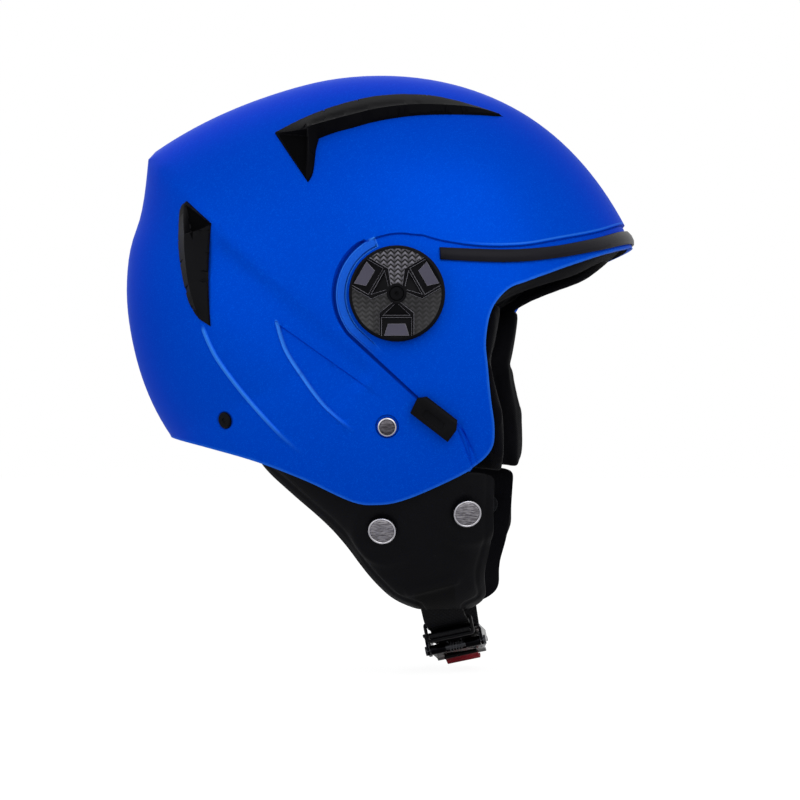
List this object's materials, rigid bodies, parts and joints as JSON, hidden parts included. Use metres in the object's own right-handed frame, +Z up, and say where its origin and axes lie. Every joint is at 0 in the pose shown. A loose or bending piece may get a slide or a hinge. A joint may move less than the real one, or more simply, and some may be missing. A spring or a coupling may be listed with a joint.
{
  "type": "open-face motorcycle helmet",
  "caption": "Open-face motorcycle helmet: painted shell over a foam liner, padded cheeks and ear flaps, turn-off pivot covers and a ratchet chin strap.",
  "frame": {"origin": "reference point inside the head: on the helmet's middle plane, level with the top of the ears, at the middle of the head's length", "axes": "+X forwards out of the face opening, +Y to the wearer's left, +Z up through the crown"},
  "size_m": [0.2751, 0.244, 0.3208],
  "materials": {
    "shell_paint": "satin metallic blue paint on a moulded shell",
    "foam_black": "moulded black foam",
    "lining_fabric": "brushed black lining cloth over foam",
    "leatherette": "black grained leatherette over foam",
    "trim_black": "satin black moulded plastic",
    "woven_cover": "dark grey woven-look moulded cover",
    "bright_cap": "dark chrome plate",
    "buckle_chrome": "bright chrome plate",
    "plain_steel": "plain zinc-plated steel",
    "webbing": "woven black polyester webbing",
    "tab_red": "red woven tape"
  },
  "bodies": {
    "helmet": {"outer_shell": "shell_paint", "eps_liner": "foam_black", "crown_lining": "lining_fabric", "brow_roll": "leatherette", "neck_roll": "leatherette", "cheek_core_right": "foam_black", "cheek_core_left": "foam_black", "cheek_pad_right": "leatherette", "cheek_pad_left": "leatherette", "brow_strip": "trim_black", "crown_duct_right": "trim_black", "crown_duct_left": "trim_black", "exhaust_vent_right": "trim_black", "exhaust_vent_left": "trim_black", "rear_plugs": "trim_black", "pivot_base_right": "trim_black", "pivot_base_left": "trim_black", "pivot_hub_right": "trim_black", "pivot_hub_left": "trim_black", "pivot_screws": "plain_steel", "pivot_nuts": "plain_steel", "visor_rest_right": "trim_black", "visor_rest_left": "trim_black", "anchor_plates": "plain_steel", "strap_rivets": "bright_cap", "ear_flap_right": "leatherette", "ear_flap_left": "leatherette", "flap_lining_right": "lining_fabric", "flap_lining_left": "lining_fabric", "snap_caps": "bright_cap", "snap_studs": "plain_steel", "strap_right": "webbing", "strap_left": "webbing", "strap_keeper": "trim_black", "buckle_frame": "buckle_chrome", "lever_pin": "plain_steel", "lever_spring": "plain_steel"},
    "cover_right": {"pivot_cover_right": "woven_cover"},
    "cover_left": {"pivot_cover_left": "woven_cover"},
    "lever": {"buckle_lever": "buckle_chrome", "pull_tab": "tab_red"},
    "tongue": {"strap_tongue": "trim_black"}
  },
  "joints": [
    {"name": "cover_right_turn", "type": "hinge", "parent": "helmet", "child": "cover_right", "pos_m": [0.016, -0.118, 0.028], "axis": [0, -1, 0], "range_deg": [0, 30]},
    {"name": "cover_left_turn", "type": "hinge", "parent": "helmet", "child": "cover_left", "pos_m": [0.016, 0.118, 0.028], "axis": [0, -1, 0], "range_deg": [0, 30]},
    {"name": "lever_lift", "type": "hinge", "parent": "helmet", "child": "lever", "pos_m": [0.04019, -0.02402, -0.15947], "axis": [-0.9781, 0, -0.2079], "range_deg": [0, 40], "stiffness_Nm_per_rad": 0.05, "springref_deg": -20.05},
    {"name": "tongue_slide", "type": "slide", "parent": "helmet", "child": "tongue", "axis": [0.0289, 0.9903, -0.1361], "range_m": [0, 0.036], "deforming": ["strap_left"]}
  ]
}
